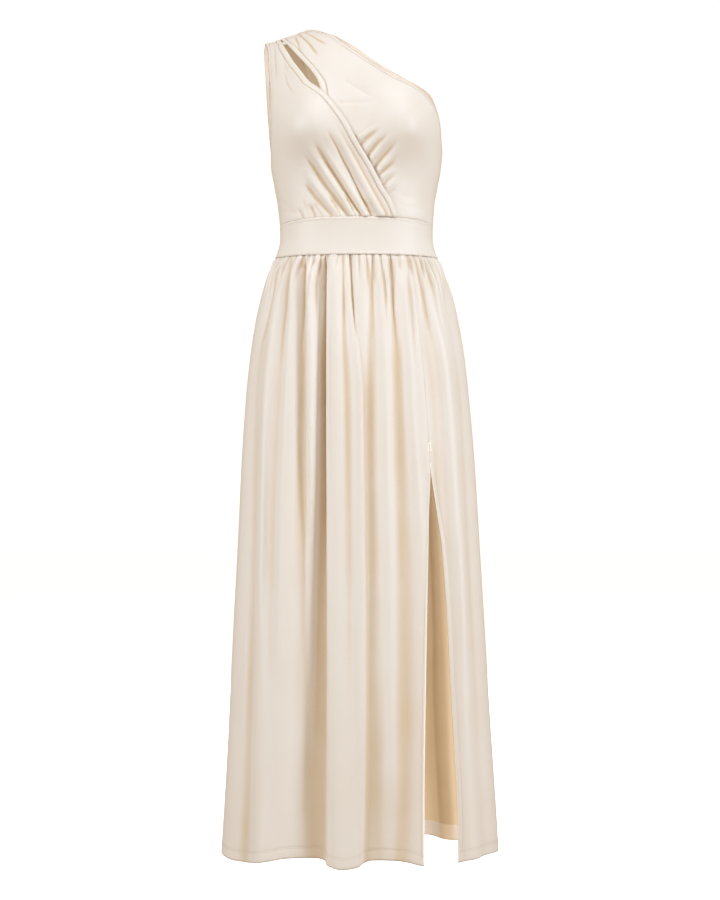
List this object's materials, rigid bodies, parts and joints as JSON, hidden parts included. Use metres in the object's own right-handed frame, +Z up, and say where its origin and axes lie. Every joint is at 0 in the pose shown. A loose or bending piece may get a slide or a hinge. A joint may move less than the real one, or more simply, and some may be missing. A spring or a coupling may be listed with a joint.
{
  "type": "one-shoulder dress",
  "caption": "Long one-shoulder dress with a wrapped bodice, a keyhole at the shoulder, a smooth waistband and a gathered skirt with a front slit, held in its worn hollow form.",
  "frame": {"origin": "on the underside of the strap, at the middle of the shoulder seam, where the dress rests on the wearer's right shoulder", "axes": "+Z up, the front faces -Y, and +X runs to the wearer's left, which is the viewer's right"},
  "size_m": [0.4711, 0.3494, 1.4085],
  "materials": {
    "bodice_cloth": "smooth cream jersey with a soft sheen",
    "band_cloth": "smooth cream jersey, doubled and pressed flat",
    "skirt_cloth": "smooth cream jersey in long soft folds"
  },
  "bodies": {
    "root": {"front_wrap": "bodice_cloth", "wrap_band": "band_cloth", "front_under": "bodice_cloth", "under_band": "band_cloth", "keyhole_tab": "band_cloth", "bodice_back": "bodice_cloth", "waistband_front": "band_cloth", "waistband_back": "band_cloth", "skirt_front": "skirt_cloth", "skirt_front_side": "skirt_cloth", "skirt_back": "skirt_cloth"}
  },
  "joints": []
}
